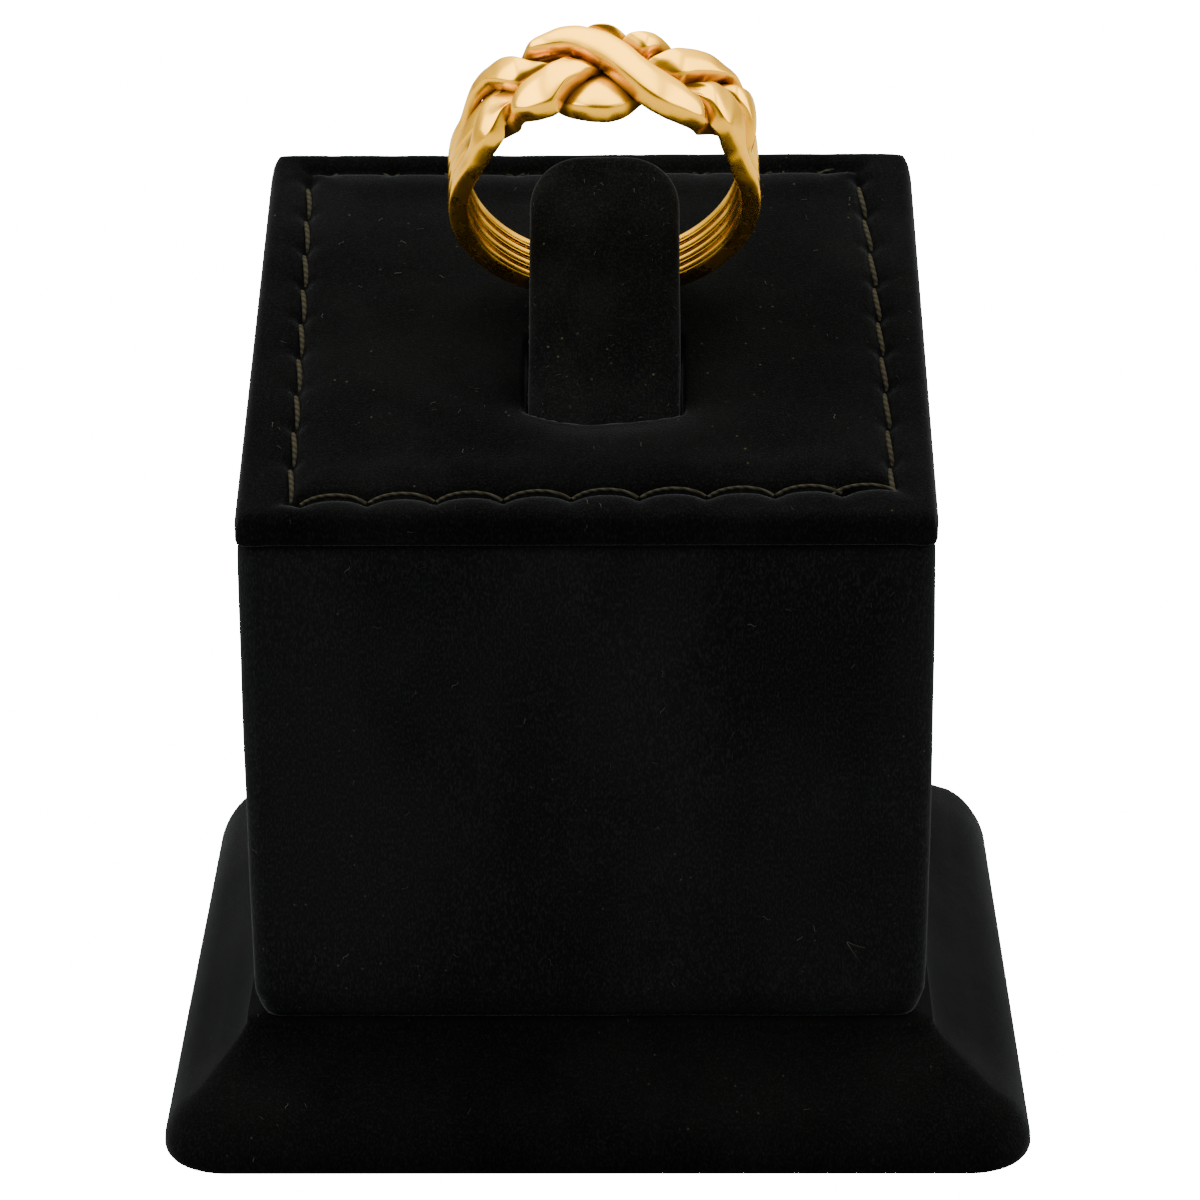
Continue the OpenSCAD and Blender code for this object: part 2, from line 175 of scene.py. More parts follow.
def new_group(name, kind, inputs, outputs):
    """A node group with its named sockets, and the sockets inside it at its two ends"""
    tree = bpy.data.node_groups.new(name, kind)
    for label, socket_type, value in inputs:
        socket = tree.interface.new_socket(name=label, in_out="INPUT", socket_type=socket_type)
        if value is not None:
            socket.default_value = value
    for label, socket_type in outputs:
        tree.interface.new_socket(name=label, in_out="OUTPUT", socket_type=socket_type)
    return tree, tree.nodes.new("NodeGroupInput").outputs, tree.nodes.new("NodeGroupOutput")


def new_material(name):
    """A material, its tree and its Principled shader"""
    material = bpy.data.materials.new(name)
    material.use_nodes = True
    return material, material.node_tree, material.node_tree.nodes["Principled BSDF"]


def bumped(tree, shader, height, strength, distance):
    feeds = {"Height": height, "Strength": strength, "Distance": distance}
    feed(tree, shader, {"Normal": add(tree, "ShaderNodeBump", feeds).outputs["Normal"]})


def object_place(tree):
    return add(tree, "ShaderNodeTexCoord", {}).outputs["Object"]


surface_sockets = (
    ("Color", "NodeSocketColor"), ("Roughness", "NodeSocketFloat"), ("Height", "NodeSocketFloat"))


def pile_group():
    """Velvet pile: short fibres, a nap brushed in patches, and the dust that it holds"""
    tree, into, out = new_group("velvet_pile", "ShaderNodeTree", (
        ("Deep Pile", "NodeSocketColor", (0, 0, 0, 1)), ("Brushed Pile", "NodeSocketColor", (0, 0, 0, 1)),
        ("Dust", "NodeSocketColor", (0.2, 0.2, 0.2, 1)), ("Nap Size", "NodeSocketFloat", 7.0),
        ("Fibre Size", "NodeSocketFloat", 0.12), ("Dust Amount", "NodeSocketFloat", 0.3)), surface_sockets)
    place = object_place(tree)

    def ramp(source, low, high):
        feeds = {"Value": source, "From Min": low, "From Max": high}
        return add(tree, "ShaderNodeMapRange", feeds, interpolation_type="SMOOTHSTEP").outputs["Result"]

    nap_scale = maths(tree, "DIVIDE", 1000.0, into["Nap Size"])
    fibre_scale = maths(tree, "DIVIDE", 1000.0, into["Fibre Size"])
    nap = ramp(noise(tree, place, nap_scale, 3.0, (1.0, 1.0, 0.6)), 0.36, 0.68)
    fibre = noise(tree, place, fibre_scale, 2.0, (1.0, 1.0, 0.45))
    tips = ramp(fibre, 0.42, 0.75)
    grit = add(tree, "ShaderNodeTexVoronoi", {"Vector": place, "Scale": 900.0, "Randomness": 1.0})
    specks = ramp(grit.outputs["Distance"], 0.1, 0.03)
    rare = ramp(noise(tree, place, nap_scale, 5.0), 0.5, 0.62)
    dust = maths(tree, "MULTIPLY", maths(tree, "MULTIPLY", specks, rare), into["Dust Amount"])
    lit = maths(tree, "MULTIPLY_ADD", tips, 0.7, maths(tree, "MULTIPLY", nap, 0.3))
    body = blend(tree, lit, into["Deep Pile"], into["Brushed Pile"])
    rough = add(tree, "ShaderNodeMapRange", {"Value": nap, "To Min": 0.86, "To Max": 1.0})
    feed(tree, out, {"Color": blend(tree, dust, body, into["Dust"]), "Roughness": rough.outputs["Result"],
                     "Height": maths(tree, "MULTIPLY_ADD", nap, 0.5, fibre)})
    return tree


velvet_pile = pile_group()


def velvet(name, deep, brushed, nap_size, dust_amount, relief):
    """Black velvet with its own nap, dust and depth of pile, in colours that are painted lighter on some
    pieces as painted light
    """
    material, tree, shader = new_material(name)
    pile = add(tree, "ShaderNodeGroup", {}, node_tree=velvet_pile)
    feed(tree, pile, {
        "Deep Pile": (*deep, 1), "Brushed Pile": (*brushed, 1), "Dust": (0.055, 0.057, 0.062, 1),
        "Nap Size": nap_size, "Dust Amount": dust_amount})
    feed(tree, shader, {
        "Base Color": pile.outputs["Color"], "Roughness": pile.outputs["Roughness"],
        "Specular IOR Level": 0.0, "Sheen Weight": 0.22, "Sheen Roughness": 0.3,
        "Sheen Tint": (0.36, 0.46, 1.0, 1)})
    bumped(tree, shader, pile.outputs["Height"], relief, 0.00012)
    return material


plinth_levels = np.concatenate([np.linspace(0, 1.2, 7), np.linspace(1.5, 5.6, 15), np.linspace(5.9, 8.3, 9)])
plinth_inset = curve_through([
    (0, 0.45), (0.25, 0.12), (0.7, 0), (1.2, 0.02), (2.2, 0.32), (3.2, 0.85), (4.0, 1.55), (4.6, 2.35),
    (5.2, 3.25), (8.3, 6.6)], plinth_levels)[:, 0]
plinth_loops = []
for level, inset in zip(plinth_levels, plinth_inset):
    climb = np.clip((inset - bevel_from) / bevel_wide, 0, 1)
    half_x = plinth_w / 2 - inset + climb * 0.55
    half_y = plinth_d / 2 - inset + climb * 0.5
    radius = plinth_corner + (folded_corner - plinth_corner) * smooth_step(inset / 2.8)
    loop = rounded_loop(half_x, half_y, radius, block_shift * climb)
    plinth_loops.append(np.column_stack([loop, np.full(len(loop), level)]))
plinth_loops.insert(0, plinth_loops[0] * [0.9, 0.9, 1])
plinth_loops = np.array(plinth_loops)
lift = soft_waves(plinth_loops.reshape(-1, 3), 16, 0.05, 3).reshape(plinth_loops.shape[:2])
raised = plinth_loops[2:, :, 2] + lift[2:] * np.clip(plinth_loops[2:, :, 2] / 4, 0, 1)
plinth_loops[2:, :, 2] = np.maximum(raised, 0.01)
plinth = loft("plinth_velvet", plinth_loops)
plinth.data.materials.append(velvet(
    "plinth_pile", (0.0014, 0.0018, 0.0036), (0.0052, 0.0067, 0.0130), 9.0, 0.35, 0.4))
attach(plinth, "root")
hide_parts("plinth")

# The block: a hollow board box, square in plan, with the cloth drawn tight round it and turned
# under at its foot. Its top slopes up to the back, and the padded top is glued on that slope.
seam_front, pad_slope, pad_thick = 42.5, np.radians(17.1), 2.1
tuck, tuck_high = 0.5, 2.0
block_h, block_corner, straight_from = 34.2, 1.35, 2.4


def seam_height(y):
    """Height of the seam between the block and its pad"""
    return seam_front + (y + block_d / 2) * np.tan(pad_slope)


block_steps = np.concatenate([
    np.linspace(0, straight_from, 9), np.linspace(4, 32, 15), np.linspace(33, block_h, 7)])
block_inset = curve_through([
    (0, 0.62), (0.25, tuck), (1.1, 0.24), (tuck_high, 0.04), (4, 0), (17, -0.06), (32.6, 0), (33.6, 0.06),
    (34.0, 0.22), (block_h, 0.5)], block_steps)[:, 0]
block_loops = []
for step, inset in zip(block_steps, block_inset):
    loop = rounded_loop(block_w / 2 - inset, block_d / 2 - inset, block_corner, block_shift)
    climb = max(0.0, (step - straight_from) / (block_h - straight_from))
    level = plinth_h + step + climb * (seam_height(loop[:, 1]) - seam_front)
    block_loops.append(np.column_stack([loop, level]))
block_loops = np.array(block_loops)
flat = block_loops.reshape(-1, 3)
away = flat[:, :2] - [block_shift, 0]
away /= np.linalg.norm(away, axis=1)[:, None]
flat[:, :2] += away * np.minimum(soft_waves(flat, 14, 0.05, 5), 0.03)[:, None]
block = loft("block_velvet", flat.reshape(block_loops.shape))
# The block's cloth is painted lighter than the plinth's and the pad's: painted light for the light on its
# sides.
block.data.materials.append(velvet(
    "block_pile_painted_lighter", (0.0027, 0.0036, 0.0076), (0.0094, 0.0124, 0.0260), 13.0, 0.5, 0.4))
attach(block, "root")
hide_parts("block")

# The padded top: velvet over a thin layer of foam, sewn down in a frame of stitches a few
# millimetres from its edge. The seam draws the cloth into a channel with a pucker at each hole,
# and the lips of the slot roll down round the tongue.
pad_z = seam_front + pad_thick / np.cos(pad_slope)
pad_origin = np.array([block_shift, -block_d / 2, pad_z])
pad_up = np.array([0, np.cos(pad_slope), np.sin(pad_slope)])
pad_out = np.array([0, -np.sin(pad_slope), np.cos(pad_slope)])
tongue_side = 1.1
edge_round, corner_soft = 0.9, 1.5
slot_from, slot_to, slot_half, slot_deep = 10.45, 19.2, 6.5, 1.95
front_pitch, first_hole, last_hole = 4.36, -18.4, 19.4
side_pitch, lowest_hole = 3.95, 1.95
seam_places = np.linspace(0, 41, 200)
seam_left = curve_through([(0, -19.1), (8, -19.15), (20, -19.35), (41, -19.8)], seam_places)[:, 0]
seam_right = curve_through([(0, 19.75), (10, 19.75), (26, 19.5), (41, 18.8)], seam_places)[:, 0]
seam_back = 38.9


def on_pad(x, u, v):
    """A point of the pad: across, up the slope and out of it, in millimetres"""
    x, u, v = (np.asarray(a, float)[..., None] for a in (x, u, v))
    return pad_origin + x * np.array([1.0, 0, 0]) + u * pad_up + v * pad_out


def front_row(x):
    """How far up the slope the row of holes at the front lies"""
    return 1.75 + (np.asarray(x, float) + 18.5) * 0.031


def front_seam(x):
    """How far up the slope the front seam runs, with a scallop between each two holes"""
    share = ((np.asarray(x, float) - first_hole) / front_pitch) % 1
    return front_row(x) + 0.52 * np.sin(np.pi * share) ** 0.8


def left_seam(u):
    return np.interp(u, seam_places, seam_left)


def right_seam(u):
    return np.interp(u, seam_places, seam_right)


def dent(distance, width):
    return np.exp(-(distance / width) ** 2)


def to_nearest(place, first, pitch):
    """The distance to the nearest hole of a row"""
    return np.abs(((place - first) / pitch + 0.5) % 1 - 0.5) * pitch


def pad_relief(x, u):
    """Height of the cloth over the pad's plane"""
    left, right, front = x - left_seam(u), right_seam(u) - x, u - front_seam(x)
    back = seam_back - u
    inside = np.minimum(np.minimum(left, right), np.minimum(front, back))
    level = -0.42 * dent(inside, 0.42) - 0.16 * dent(inside, 1.3)
    near_row = np.minimum(np.abs(front), np.abs(back)) < np.minimum(np.abs(left), np.abs(right))
    holes = np.where(near_row, to_nearest(x, first_hole, front_pitch), to_nearest(u, lowest_hole, side_pitch))
    level = level - 0.24 * dent(holes, 0.6) * dent(inside, 0.75)
    level = level + 0.12 * dent(inside + 1.4, 0.9) * (1 - 0.3 * dent(holes, 1.1))
    level = level + 0.16 * dent(inside - 2.2, 1.5) + 0.1 * np.clip(inside / 6, 0, 1)
    across = (x - tongue_side) / slot_half
    lip = slot_from + 1.5 * across ** 2 + 0.12 * np.sin(across * 5)
    behind = u - lip
    reach = smooth_step((0.835 - np.abs(across)) / 0.08)
    fall = smooth_step((behind + 0.35) / 0.9)
    close = np.clip((slot_to - u) / 2.0, 0, 1)
    level = level - (slot_deep + level) * fall * reach * close
    level = level - 0.42 * dent(behind - 0.6, 1.5) * dent(np.maximum(np.abs(across) - 0.8, 0), 0.22)
    level = level - 0.22 * dent(behind + 0.7, 1.5) * dent(across, 1.15)
    level = level + 0.12 * dent(behind + 3.6, 1.6) * dent(across, 1.2)
    points = np.column_stack([x.ravel(), u.ravel(), np.zeros(x.size)])
    return level + soft_waves(points, 17, 0.05, 11).reshape(x.shape)


side_x = block_w / 2 - edge_round
u_low = edge_round * (1 - np.tan(pad_slope))
u_high = block_d / np.cos(pad_slope) - edge_round * (1 + np.tan(pad_slope))
count_x, count_u = 184, 166
steps_x, steps_u = np.linspace(-side_x, side_x, count_x), np.linspace(u_low, u_high, count_u)
grid_x, grid_u = np.meshgrid(steps_x, steps_u, indexing="ij")
grid_v = pad_relief(grid_x, grid_u)
rim = [(i, 0) for i in range(count_x - 1)]
rim += [(count_x - 1, j) for j in range(count_u - 1)]
rim += [(i, count_u - 1) for i in range(count_x - 1, 0, -1)]
rim += [(0, j) for j in range(count_u - 1, 0, -1)]
rim_i, rim_j = np.array(rim).T
rim_x, rim_u, rim_v = grid_x[rim_i, rim_j], grid_u[rim_i, rim_j], grid_v[rim_i, rim_j]
push_x = np.clip((np.abs(rim_x) - side_x + corner_soft) / corner_soft, 0, 1) * np.sign(rim_x)
push_u = (np.clip((rim_u - u_high + corner_soft) / corner_soft, 0, 1)
          - np.clip((u_low + corner_soft - rim_u) / corner_soft, 0, 1))
push_x = np.where(np.isclose(np.abs(rim_x), side_x), np.sign(rim_x), push_x ** 3)
push_u = np.where(np.isclose(rim_u, u_high), 1, np.where(np.isclose(rim_u, u_low), -1, push_u ** 3))
push = np.column_stack([push_x, push_u])
push /= np.linalg.norm(push, axis=1)[:, None]
wall = []
for angle in np.radians([12, 24, 36, 48, 60, 74, 90]):
    reach = edge_round * np.sin(angle)
    sunk = rim_v * np.cos(angle) ** 2 - edge_round * (1 - np.cos(angle))
    wall.append(on_pad(rim_x + push[:, 0] * reach, rim_u + push[:, 1] * reach, sunk))
brink = wall[-1]
# down the pad's edge: the share of its height, and how far the cloth is drawn in
drawn_in = ((0.2, -0.08), (0.4, -0.12), (0.6, -0.08), (0.8, 0.03), (0.92, 0.14), (1.0, 0.36), (1.0, 1.6))
for share, inset in drawn_in:
    step = brink.copy()
    fold = 0.5 * np.abs(push[:, 0] * push[:, 1]) * (push[:, 1] < 0) * dent(share - 0.85, 0.2)
    step[:, :2] -= push * (inset - fold[:, None])
    step[:, 2] = brink[:, 2] + (seam_height(step[:, 1]) + 0.02 - brink[:, 2]) * share
    wall.append(step)
index = np.arange(count_x * count_u).reshape(count_x, count_u)
pad_faces = [(index[i, j], index[i + 1, j], index[i + 1, j + 1], index[i, j + 1])
             for i in range(count_x - 1) for j in range(count_u - 1)]
rows = [index[rim_i, rim_j]]
rows += [np.arange(len(rim)) + count_x * count_u + k * len(rim) for k in range(len(wall))]
for upper, lower in zip(rows, rows[1:]):
    for i in range(len(rim)):
        j = (i + 1) % len(rim)
        pad_faces.append((upper[i], lower[i], lower[j], upper[j]))
pad_points = np.vstack([on_pad(grid_x, grid_u, grid_v).reshape(-1, 3)] + wall + [wall[-1].mean(0)])
for i in range(len(rim)):
    pad_faces.append((len(pad_points) - 1, rows[-1][(i + 1) % len(rim)], rows[-1][i]))
pad = skin("pad_velvet", pad_points, [tuple(int(n) for n in f) for f in pad_faces])
pad.data.materials.append(velvet(
    "pad_pile", (0.0013, 0.0017, 0.0034), (0.0050, 0.0064, 0.0126), 9.0, 0.5, 0.4))
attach(pad, "root")
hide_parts("top_pad")

# The tongue: a stiff card wrapped in foam and velvet, glued into the slot. It leans up and back
# out of the pad, keeps an even width, and its tip is sewn to a soft, nearly square round.
tongue_w, tongue_t, tongue_l = 10.1, 3.0, 18.6
tongue_rise, tongue_mouth = np.radians(30), 10.96
root_deep, tip_round, tip_soft = 2.6, 3.5, 0.7
tip_narrow, tip_thin = 3.3, 0.55
tongue_way = np.cos(tongue_rise) * pad_up + np.sin(tongue_rise) * pad_out
tongue_out = -np.sin(tongue_rise) * pad_up + np.cos(tongue_rise) * pad_out
tongue_origin = pad_origin + np.array([tongue_side, 0, 0]) + tongue_mouth * pad_up
tongue_middle = tongue_origin - tongue_t / 2 * tongue_out
straight = np.linspace(-root_deep, tongue_l - tip_round, 60)
rounded = tongue_l - tip_round + tip_round * np.sin(np.linspace(0.06, np.pi / 2, 26))
turn = np.linspace(0, 2 * np.pi, 72, endpoint=False)
unit_x = np.sign(np.cos(turn)) * np.abs(np.cos(turn)) ** 0.42
unit_z = np.sign(np.sin(turn)) * np.abs(np.sin(turn)) ** 0.72
tongue_loops = []
for v in np.concatenate([straight, rounded]):
    corner = np.clip((v - (tongue_l - tip_round)) / tip_round, 0, 1)
    wide = tongue_w / 2 - tip_narrow * (1 - np.sqrt(max(0, 1 - corner ** 2.3)))
    tip = np.clip((v - (tongue_l - tip_soft)) / tip_soft, 0, 1)
    thick = tongue_t / 2 - tip_thin * (1 - np.sqrt(max(0, 1 - tip ** 2.2)))
    tongue_loops.append(tongue_middle + v * tongue_way + wide * unit_x[:, None] * [1, 0, 0]
                        + thick * unit_z[:, None] * tongue_out)
tongue_loops = np.array(tongue_loops)
flat = tongue_loops.reshape(-1, 3)
from_axis = flat - tongue_middle - ((flat - tongue_middle) @ tongue_way)[:, None] * tongue_way
from_axis /= np.linalg.norm(from_axis, axis=1)[:, None] + 1e-9
flat += from_axis * np.minimum(soft_waves(flat, 9, 0.05, 21) - 0.02, 0.02)[:, None]
tongue = loft("tongue_velvet", flat.reshape(tongue_loops.shape)[:, ::-1])
# The tongue's cloth is painted lighter than the pad's: painted light for the light that falls on it.
tongue.data.materials.append(velvet(
    "tongue_pile_painted_lighter", (0.0022, 0.0030, 0.0058), (0.0082, 0.0106, 0.0210), 5.0, 0.8, 0.45))
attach(tongue, "root")
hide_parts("tongue")

# The stitching: one run of dark grey thread round the pad, in long stitches that bow between
# their holes. Each stitch is a short bent strand laid in the channel, with its ends pulled in.
thread, thread_tree, thread_shader = new_material("stitch_thread")
twist = add(thread_tree, "ShaderNodeTexWave", {
    "Vector": object_place(thread_tree), "Scale": 900.0, "Distortion": 2.0},
    wave_type="BANDS", bands_direction="DIAGONAL").outputs["Fac"]
thread_tone = add(thread_tree, "ShaderNodeValToRGB", {"Fac": twist})
thread_tone.color_ramp.elements[0].color = (0.0042, 0.005, 0.0078, 1)
thread_tone.color_ramp.elements[1].color = (0.0165, 0.0205, 0.038, 1)
feed(thread_tree, thread_shader, {
    "Base Color": thread_tone.outputs["Color"], "Roughness": 0.8, "Specular IOR Level": 0.15})
bumped(thread_tree, thread_shader, twist, 0.5, 0.00005)


def strand_of(tree, points, steps, radius, sides):
    """A capped strand along a bent line through its ends and handles, as a mesh"""
    ends = dict(zip(("Start", "Start Handle", "End Handle", "End"), points))
    line = add(tree, "GeometryNodeCurvePrimitiveBezierSegment", {"Resolution": steps, **ends})
    section = add(tree, "GeometryNodeCurvePrimitiveCircle", {"Resolution": sides, "Radius": radius})
    feeds = {"Curve": line.outputs[0], "Profile Curve": section.outputs[0], "Fill Caps": True}
    return add(tree, "GeometryNodeCurveToMesh", feeds).outputs[0]


def laid_out(tree, out, feeds, material):
    """Strands set on points, made real and given their material, as the tree's result"""
    place = add(tree, "GeometryNodeInstanceOnPoints", feeds)
    real = add(tree, "GeometryNodeRealizeInstances", {0: place.outputs[0]})
    paint = add(tree, "GeometryNodeSetMaterial", {"Geometry": real.outputs[0], "Material": material})
    feed(tree, out, {0: paint.outputs[0]})


geometry_in = ("Geometry", "NodeSocketGeometry", None)
geometry_out = (("Geometry", "NodeSocketGeometry"),)


def stitch_tree():
    """Geometry nodes that lay one bent stitch on each point of a run"""
    tree, into, out = new_group("stitch_run", "GeometryNodeTree", (
        geometry_in, ("Stitch Length", "NodeSocketFloat", 0.004),
        ("Thread Radius", "NodeSocketFloat", 0.0002), ("Bow Sideways", "NodeSocketFloat", 0.0),
        ("Bow Outwards", "NodeSocketFloat", 0.0003), ("Ends Sink", "NodeSocketFloat", 0.0003),
        ("Thread", "NodeSocketMaterial", None)), geometry_out)

    def point(x, y, z):
        return add(tree, "ShaderNodeCombineXYZ", {"X": x, "Y": y, "Z": z}).outputs[0]

    half = maths(tree, "MULTIPLY", into["Stitch Length"], 0.5)
    third = maths(tree, "MULTIPLY", half, 0.55)
    sunk = maths(tree, "MULTIPLY", into["Ends Sink"], -1.0)
    side = maths(tree, "MULTIPLY", into["Bow Sideways"], 1.33)
    rise = maths(tree, "MULTIPLY", into["Bow Outwards"], 1.33)
    points = (point(maths(tree, "MULTIPLY", half, -1.0), 0.0, sunk),
              point(maths(tree, "MULTIPLY", third, -1.0), side, rise), point(third, side, rise),
              point(half, 0.0, sunk))
    strand = strand_of(tree, points, 10, into["Thread Radius"], 8)
    smooth = add(tree, "GeometryNodeSetShadeSmooth", {0: strand})

    def marked(name):
        """The way that a run's points are marked with"""
        feeds = {"Name": name}
        mark = add(tree, "GeometryNodeInputNamedAttribute", feeds, data_type="FLOAT_VECTOR")
        return mark.outputs["Attribute"]

    lie = add(tree, "FunctionNodeAlignRotationToVector", {"Vector": marked("along")}, axis="X")
    stand = add(tree, "FunctionNodeAlignRotationToVector", {
        "Rotation": lie.outputs[0], "Vector": marked("outward")}, axis="Z", pivot_axis="X")
    feeds = {"Points": into["Geometry"], "Instance": smooth.outputs[0], "Rotation": stand.outputs[0]}
    laid_out(tree, out, feeds, into["Thread"])
    return tree


stitch_run = stitch_tree()


def made_by_nodes(name, mesh, tree, values):
    """The plain mesh that a node tree makes from another mesh"""
    carrier = placed(name + "_carrier", mesh)
    modifier = carrier.modifiers.new("nodes", "NODES")
    modifier.node_group = tree
    for item in tree.interface.items_tree:
        if item.in_out == "INPUT" and item.name in values:
            modifier[item.identifier] = values[item.name]
    view_layer = bpy.context.evaluated_depsgraph_get()
    made = bpy.data.meshes.new_from_object(carrier.evaluated_get(view_layer))
    made.name = name
    bpy.data.objects.remove(carrier)
    return placed(name, made)


def stitches(name, holes, slant, values):
    """A run of stitches between holes, given across the pad and up its slope, each laid at a slant"""
    holes = np.array(holes, float)
    middle = (holes[:-1] + holes[1:]) / 2
    along = np.diff(holes, axis=0)
    level = pad_relief(middle[:, 0], middle[:, 1])
    run = bpy.data.meshes.new(name + "_run")
    run.from_pydata([tuple(p) for p in on_pad(middle[:, 0], middle[:, 1], level) / 1000], [], [])
    turned = np.column_stack([along[:, 0] - slant * along[:, 1], along[:, 1] + slant * along[:, 0]])
    way = turned[:, :1] * np.array([1.0, 0, 0]) + turned[:, 1:] * pad_up
    for label, vectors in (("along", way), ("outward", np.tile(pad_out, (len(middle), 1)))):
        run.attributes.new(label, "FLOAT_VECTOR", "POINT").data.foreach_set("vector", vectors.ravel())
    piece = made_by_nodes(name, run, stitch_run, {**values, "Thread": thread})
    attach(piece, "root")


hole_us = [lowest_hole + side_pitch * n for n in range(10)]
hole_xs = [first_hole + front_pitch * n for n in range(9)] + [last_hole]
side_stitch = {
    "Stitch Length": 0.0035, "Thread Radius": 0.00018, "Bow Sideways": 0.00008, "Bow Outwards": 0.00024,
    "Ends Sink": 0.0003}
row_stitch = {"Stitch Length": 0.0042, "Thread Radius": 0.00013, "Bow Outwards": 0.00012, "Ends Sink": 0.0003}
stitches("stitches_left", [(left_seam(u), u) for u in hole_us[::-1]], 0.09, side_stitch)
stitches("stitches_right", [(right_seam(u), u) for u in hole_us], 0.07, side_stitch)
stitches("stitches_front", [(x, front_row(x)) for x in hole_xs], 0.0,
         {**row_stitch, "Bow Sideways": 0.0005})
stitches("stitches_back", [(x, seam_back) for x in hole_xs[::-1]], 0.0,
         {**row_stitch, "Bow Sideways": -0.0004})

# Lint: pale dust and short fibres that the pile has caught, thickest on the tongue, and one curled
# hair on the block's front. They only lie on the cloth, so each is a bent strand of its own.
lint_material, lint_shading, lint_shader = new_material("lint_fibre")
lint_noise = add(lint_shading, "ShaderNodeTexNoise", {"Vector": object_place(lint_shading), "Scale": 160.0})
lint_tone = add(lint_shading, "ShaderNodeValToRGB", {"Fac": lint_noise.outputs["Fac"]})
lint_tone.color_ramp.elements[0].position = 0.35
lint_tone.color_ramp.elements[0].color = (0.009, 0.011, 0.015, 1)
lint_tone.color_ramp.elements[1].position = 0.75
lint_tone.color_ramp.elements[1].color = (0.08, 0.097, 0.17, 1)
feed(lint_shading, lint_shader, {
    "Base Color": lint_tone.outputs["Color"], "Roughness": 0.85, "Specular IOR Level": 0.1})


def lint_tree():
    """Geometry nodes that strew bent fibres over the cloth, on what doesn't face down"""
    tree, into, out = new_group("lint_strewn", "GeometryNodeTree", (
        geometry_in, ("Fibres Per Area", "NodeSocketFloat", 20000.0),
        ("Fibre Length", "NodeSocketFloat", 0.0007), ("Fibre Radius", "NodeSocketFloat", 0.000014),
        ("Seed", "NodeSocketInt", 1), ("Fibre", "NodeSocketMaterial", None)), geometry_out)

    def point(x, y, z):
        """A point given in shares of the fibre's length"""
        feeds = {0: (x, y, z), "Scale": into["Fibre Length"]}
        return add(tree, "ShaderNodeVectorMath", feeds, operation="SCALE").outputs[0]

    def random(low, high, seed):
        feeds = {2: low, 3: high, "Seed": seed}
        return add(tree, "FunctionNodeRandomValue", feeds, data_type="FLOAT").outputs[1]

    normal = add(tree, "GeometryNodeInputNormal", {})
    upward = add(tree, "ShaderNodeSeparateXYZ", {0: normal.outputs[0]}).outputs["Z"]
    facing = add(tree, "FunctionNodeCompare", {0: upward, 1: -0.25},
                 data_type="FLOAT", operation="GREATER_THAN")
    strew = add(tree, "GeometryNodeDistributePointsOnFaces", {
        "Mesh": into["Geometry"], "Selection": facing.outputs[0], "Density": into["Fibres Per Area"],
        "Seed": into["Seed"]})
    bends = ((-0.5, 0, 0.02), (-0.3, 0.35, 0.12), (0.35, -0.3, 0.16), (0.45, 0.2, 0.03))
    strand = strand_of(tree, [point(*bend) for bend in bends], 6, into["Fibre Radius"], 4)
    spin = add(tree, "ShaderNodeCombineXYZ", {"Z": random(-3.14, 3.14, 5)})
    as_turn = add(tree, "FunctionNodeEulerToRotation", {0: spin.outputs[0]})
    both = add(tree, "FunctionNodeRotateRotation", {
        "Rotation": strew.outputs["Rotation"], "Rotate By": as_turn.outputs[0]}, rotation_space="LOCAL")
    laid_out(tree, out, {"Points": strew.outputs["Points"], "Instance": strand, "Rotation": both.outputs[0],
                         "Scale": random(0.25, 1.3, 9)}, into["Fibre"])
    return tree


lint_strewn = lint_tree()
# each cloth, its fibres per square metre, their length in metres and the seed of their places
strewn = ((plinth, 30000.0, 0.0004, 3), (block, 40000.0, 0.00045, 8), (pad, 60000.0, 0.0004, 14),
          (tongue, 420000.0, 0.00024, 21))
for cloth, fibres, length, seed in strewn:
    lint = made_by_nodes(cloth.name.replace("velvet", "lint"), cloth.data.copy(), lint_strewn, {
        "Fibres Per Area": fibres, "Fibre Length": length, "Fibre Radius": 0.000012, "Seed": seed,
        "Fibre": lint_material})
    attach(lint, "root")

hair_turn = np.linspace(0, 1, 41)
hair_path = np.column_stack([
    17.2 + 0.75 * np.cos(5.2 * hair_turn + 0.6) * (1 - 0.5 * hair_turn),
    -20.0 - 0.12 * np.sin(9 * hair_turn),
    13.9 + 1.1 * hair_turn * np.sin(4.4 * hair_turn + 0.4)])
hair_radius = 0.022
hair_way = np.gradient(hair_path, axis=0)
hair_way /= np.linalg.norm(hair_way, axis=1)[:, None]
hair_side = np.cross(hair_way, [0, -1.0, 0])
hair_side /= np.linalg.norm(hair_side, axis=1)[:, None]
hair_lift = np.cross(hair_way, hair_side)
hair_round = np.linspace(0, 2 * np.pi, 6, endpoint=False)
hair_cos, hair_sin = np.cos(hair_round)[:, None], np.sin(hair_round)[:, None]
hair = loft("curled_hair", [p + hair_radius * (hair_cos * s + hair_sin * t)
                            for p, s, t in zip(hair_path, hair_side, hair_lift)])
hair.data.materials.append(lint_material)
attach(hair, "root")

# The ring: four cast bands of yellow gold, each one closed loop. They lie side by side round the
# shank and weave over and under each other in the knot. Each band is drawn from its lane, its two
# edges and its height at a row of angles, and gives way where another crosses it.
bore_r, band_t, shank_w, shoulder_w = 9.0, 1.28, 3.44, 6.0
knot_high, knot_half = 2.7, 3.93
knot_from, knot_to = -78.0, 84.0
ring_along, ring_lean, ring_turn, rest_gap = 21.7, np.radians(13.9), np.radians(1.8), 0.3
lane_clear, cross_clear = 0.07, 0.12
